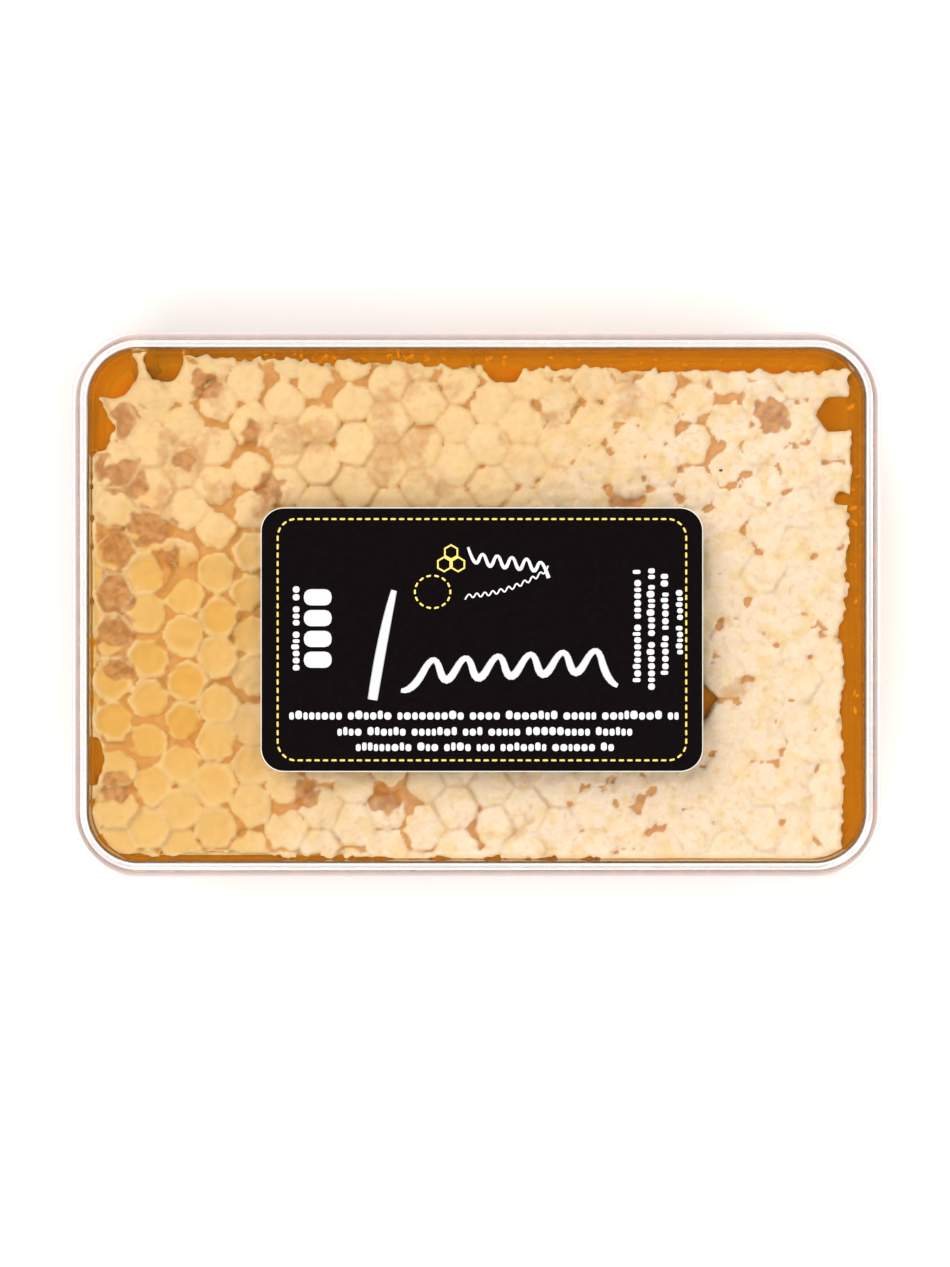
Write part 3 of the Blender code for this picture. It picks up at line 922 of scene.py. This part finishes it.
# rows of small bars: middle x and y from the label's middle, length, height of the bars, turn
ROWS = (
    (0.0000, -0.0099, 0.0500, 0.00120, 0.0),
    (0.0004, -0.0120, 0.0383, 0.00115, 0.0),
    (0.0004, -0.0140, 0.0335, 0.00115, 0.0),
    (-0.0241, 0.0013, 0.0106, 0.00110, math.pi / 2),
    (0.0202, 0.0016, 0.0142, 0.00110, math.pi / 2),
    (0.0220, 0.0011, 0.0152, 0.00110, math.pi / 2),
    (0.0238, 0.0018, 0.0127, 0.00105, math.pi / 2),
    (0.0257, 0.0023, 0.0084, 0.00095, math.pi / 2),
)
MARK_GAP = 0.00018
WORD_GAP = 0.00060
word_dice = np.random.default_rng(3)
bm = bmesh.new()
for middle_x, middle_y, length, height, turn in ROWS:
    along = -length / 2
    left_in_word = word_dice.integers(3, 10)
    while along < length / 2:
        width = word_dice.uniform(0.42, 0.80) * height
        reach = along + width / 2
        lift = word_dice.choice([0.0, 0.0, 0.12]) * height
        x = middle_x + reach * math.cos(turn) - lift * math.sin(turn)
        y = middle_y + reach * math.sin(turn) + lift * math.cos(turn)
        bar(bm, x, y, width, height * 0.80 + lift, turn)
        along += width + MARK_GAP
        left_in_word -= 1
        if left_in_word == 0:
            along += WORD_GAP
            left_in_word = word_dice.integers(3, 10)
for block in range(4):
    bar(bm, -0.0213, -0.0026 + block * 0.0027, 0.0036, 0.0021)
bars = finish_mesh(bm, "label_bars", ink("white_ink", linear(250, 250, 250), linear(232, 232, 234)))
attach(bars, "root")


def brush_line(bm, name, points, thickness):
    """A flat brushed line along points on the label. A point's third value is its share of the width."""
    curve = bpy.data.curves.new(name, "CURVE")
    curve.dimensions = "3D"
    curve.resolution_u = 6
    curve.bevel_depth = thickness / 2
    curve.bevel_resolution = 1
    curve.use_fill_caps = True
    spline = curve.splines.new("NURBS")
    spline.points.add(len(points) - 1)
    for point, (x, y, share) in zip(spline.points, points):
        point.co = (label_middle.x + x, label_middle.y + y, 0.0, 1.0)
        point.radius = share
    spline.use_endpoint_u = True
    spline.order_u = 3
    guide = bpy.data.objects.new(name, curve)
    bpy.context.scene.collection.objects.link(guide)
    graph = bpy.context.evaluated_depsgraph_get()
    round_line = bpy.data.meshes.new_from_object(guide.evaluated_get(graph))
    flat_line = Matrix.Diagonal((1.0, 1.0, 2 * INK / thickness, 1.0))
    round_line.transform(Matrix.Translation((0.0, 0.0, label_top)) @ flat_line)
    bm.from_mesh(round_line)
    bpy.data.objects.remove(guide)
    bpy.data.curves.remove(curve)
    bpy.data.meshes.remove(round_line)


# a slanting brush mark and a long wave stand in the title's place, with finer waves above them
bm = bmesh.new()
brush_line(bm, "slant", [(-0.0114, 0.0064, 0.6), (-0.0128, 0.0010, 1.2), (-0.0142, -0.0078, 1.0)], 0.0013)
wave = [(-0.0105, -0.0066, 0.5)]
for turn in range(13):
    top = turn % 2
    x = -0.0090 + 0.0021 * turn + 0.0008 * top
    y = -0.0068 + 0.0054 * top + 0.00012 * turn
    wave.append((x, y, 1.1 - 0.5 * top))
wave.append((0.0176, -0.0060, 0.5))
brush_line(bm, "wave", wave, 0.0011)
small_wave = []
for turn in range(12):
    foot = turn % 2
    small_wave.append((-0.0018 + 0.00095 * turn, 0.0120 - 0.0029 * foot - 0.0001 * turn, 0.7 + 0.4 * foot))
brush_line(bm, "small_wave", small_wave, 0.0005)
fine_wave = []
for turn in range(22):
    share = turn / 21
    y = 0.0052 + 0.0034 * share ** 2 + 0.0010 * (turn % 2)
    fine_wave.append((-0.0022 + 0.0108 * share, y, 0.8))
brush_line(bm, "fine_wave", fine_wave, 0.00026)
bmesh.ops.remove_doubles(bm, verts=bm.verts, dist=1e-7)
brush = finish_mesh(bm, "label_strokes", bars.data.materials[0])
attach(brush, "root")

# beside them, in the frame's yellow, three outlined cells of comb and a dashed ring
CELL_RADIUS = 0.00105
LINE = 0.00024
RING_X = 0.0023
RING_Y = 0.0021
bm = bmesh.new()
for turn in range(3):
    angle = math.radians(90 + 120 * turn)
    x = label_middle.x - 0.0040 + math.cos(angle) * CELL_RADIUS
    y = label_middle.y + 0.0103 + math.sin(angle) * CELL_RADIUS
    place = Matrix.Translation((x, y, label_top + INK))
    bmesh.ops.create_circle(bm, cap_ends=True, segments=6, radius=CELL_RADIUS, matrix=place)
faces = bm.faces[:]
bmesh.ops.inset_individual(bm, faces=faces, thickness=LINE)
bmesh.ops.delete(bm, geom=faces, context="FACES_ONLY")
bmesh.ops.solidify(bm, geom=bm.faces[:], thickness=INK)
for turn in range(14):
    angle = math.tau * turn / 14
    x = -0.0064 + RING_X * math.cos(angle)
    y = 0.0062 + RING_Y * math.sin(angle)
    bar(bm, x, y, 0.00062, LINE, angle + math.pi / 2)
bmesh.ops.recalc_face_normals(bm, faces=bm.faces)
ornament = finish_mesh(bm, "label_ornament", dashes.data.materials[0], flat_over=0.0)
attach(ornament, "root")


# ---- Studio -----------------------------------------------------------------------------------
# A white floor, wide soft lamps from both sides, and a camera straight above on a long lens.

bm = bmesh.new()
bmesh.ops.create_grid(bm, x_segments=1, y_segments=1, size=3.0)
bmesh.ops.translate(bm, vec=(0.0, 0.0, cad_low.z), verts=bm.verts)
paper = Paint("studio_floor", Base_Color=(0.92, 0.92, 0.92, 1.0), Roughness=0.9, Specular_IOR_Level=0.0)
floor = finish_mesh(bm, "studio_floor", paper.material)


def lamp(name, place, size, watts):
    light = bpy.data.lights.new(name, "AREA")
    light.shape = "SQUARE"
    light.size = size
    light.energy = watts
    light.color = (1.0, 1.0, 1.0)
    stand = bpy.data.objects.new(name, light)
    stand.location = place
    stand.rotation_euler = Vector(place).to_track_quat("Z", "Y").to_euler()
    # the plastic lets a lamp's light through as it stands, so it isn't bent through it a second time
    stand.visible_transmission = False
    bpy.context.scene.collection.objects.link(stand)


lamp("key", (-1.1, 1.2, 2.4), 2.0, 56.0)
lamp("fill", (1.4, -0.5, 2.2), 2.0, 41.0)
lamp("front", (-0.3, -1.5, 2.2), 2.0, 35.0)

# the tent round the table is bright near the floor and dark where the camera looks in
TENT_LOW = 1.1
TENT_TOP = 0.04
TENT_REACH = 0.75
world = bpy.data.worlds.new("studio")
world.use_nodes = True
tent = Nodes(world.node_tree)
heading = tent.node("ShaderNodeTexCoord", {}, {}, "Generated")
upwards = tent.node("ShaderNodeSeparateXYZ", {}, {"Vector": heading}, "Z")
glow = tent.node(
    "ShaderNodeMapRange", {},
    {"Value": upwards, "From Max": TENT_REACH, "To Min": TENT_LOW, "To Max": TENT_TOP}
)
background = world.node_tree.nodes["Background"]
background.inputs["Color"].default_value = (1.0, 1.0, 1.0, 1.0)
tent.tree.links.new(glow.socket, background.inputs["Strength"])
world.cycles.sampling_method = "NONE"
bpy.context.scene.world = world
bpy.context.scene.view_settings.view_transform = "Standard"

VIEW_WIDTH = 0.1232
LENS = 180.0
SENSOR = 36.0
camera_data = bpy.data.cameras.new("camera")
camera_data.sensor_fit = "HORIZONTAL"
camera_data.sensor_width = SENSOR
camera_data.lens = LENS
camera_data.clip_start = 0.01
camera = bpy.data.objects.new("camera", camera_data)
camera.location = (-0.0002, -0.0037, cad_high.z + VIEW_WIDTH * LENS / SENSOR)
bpy.context.scene.collection.objects.link(camera)
bpy.context.scene.camera = camera
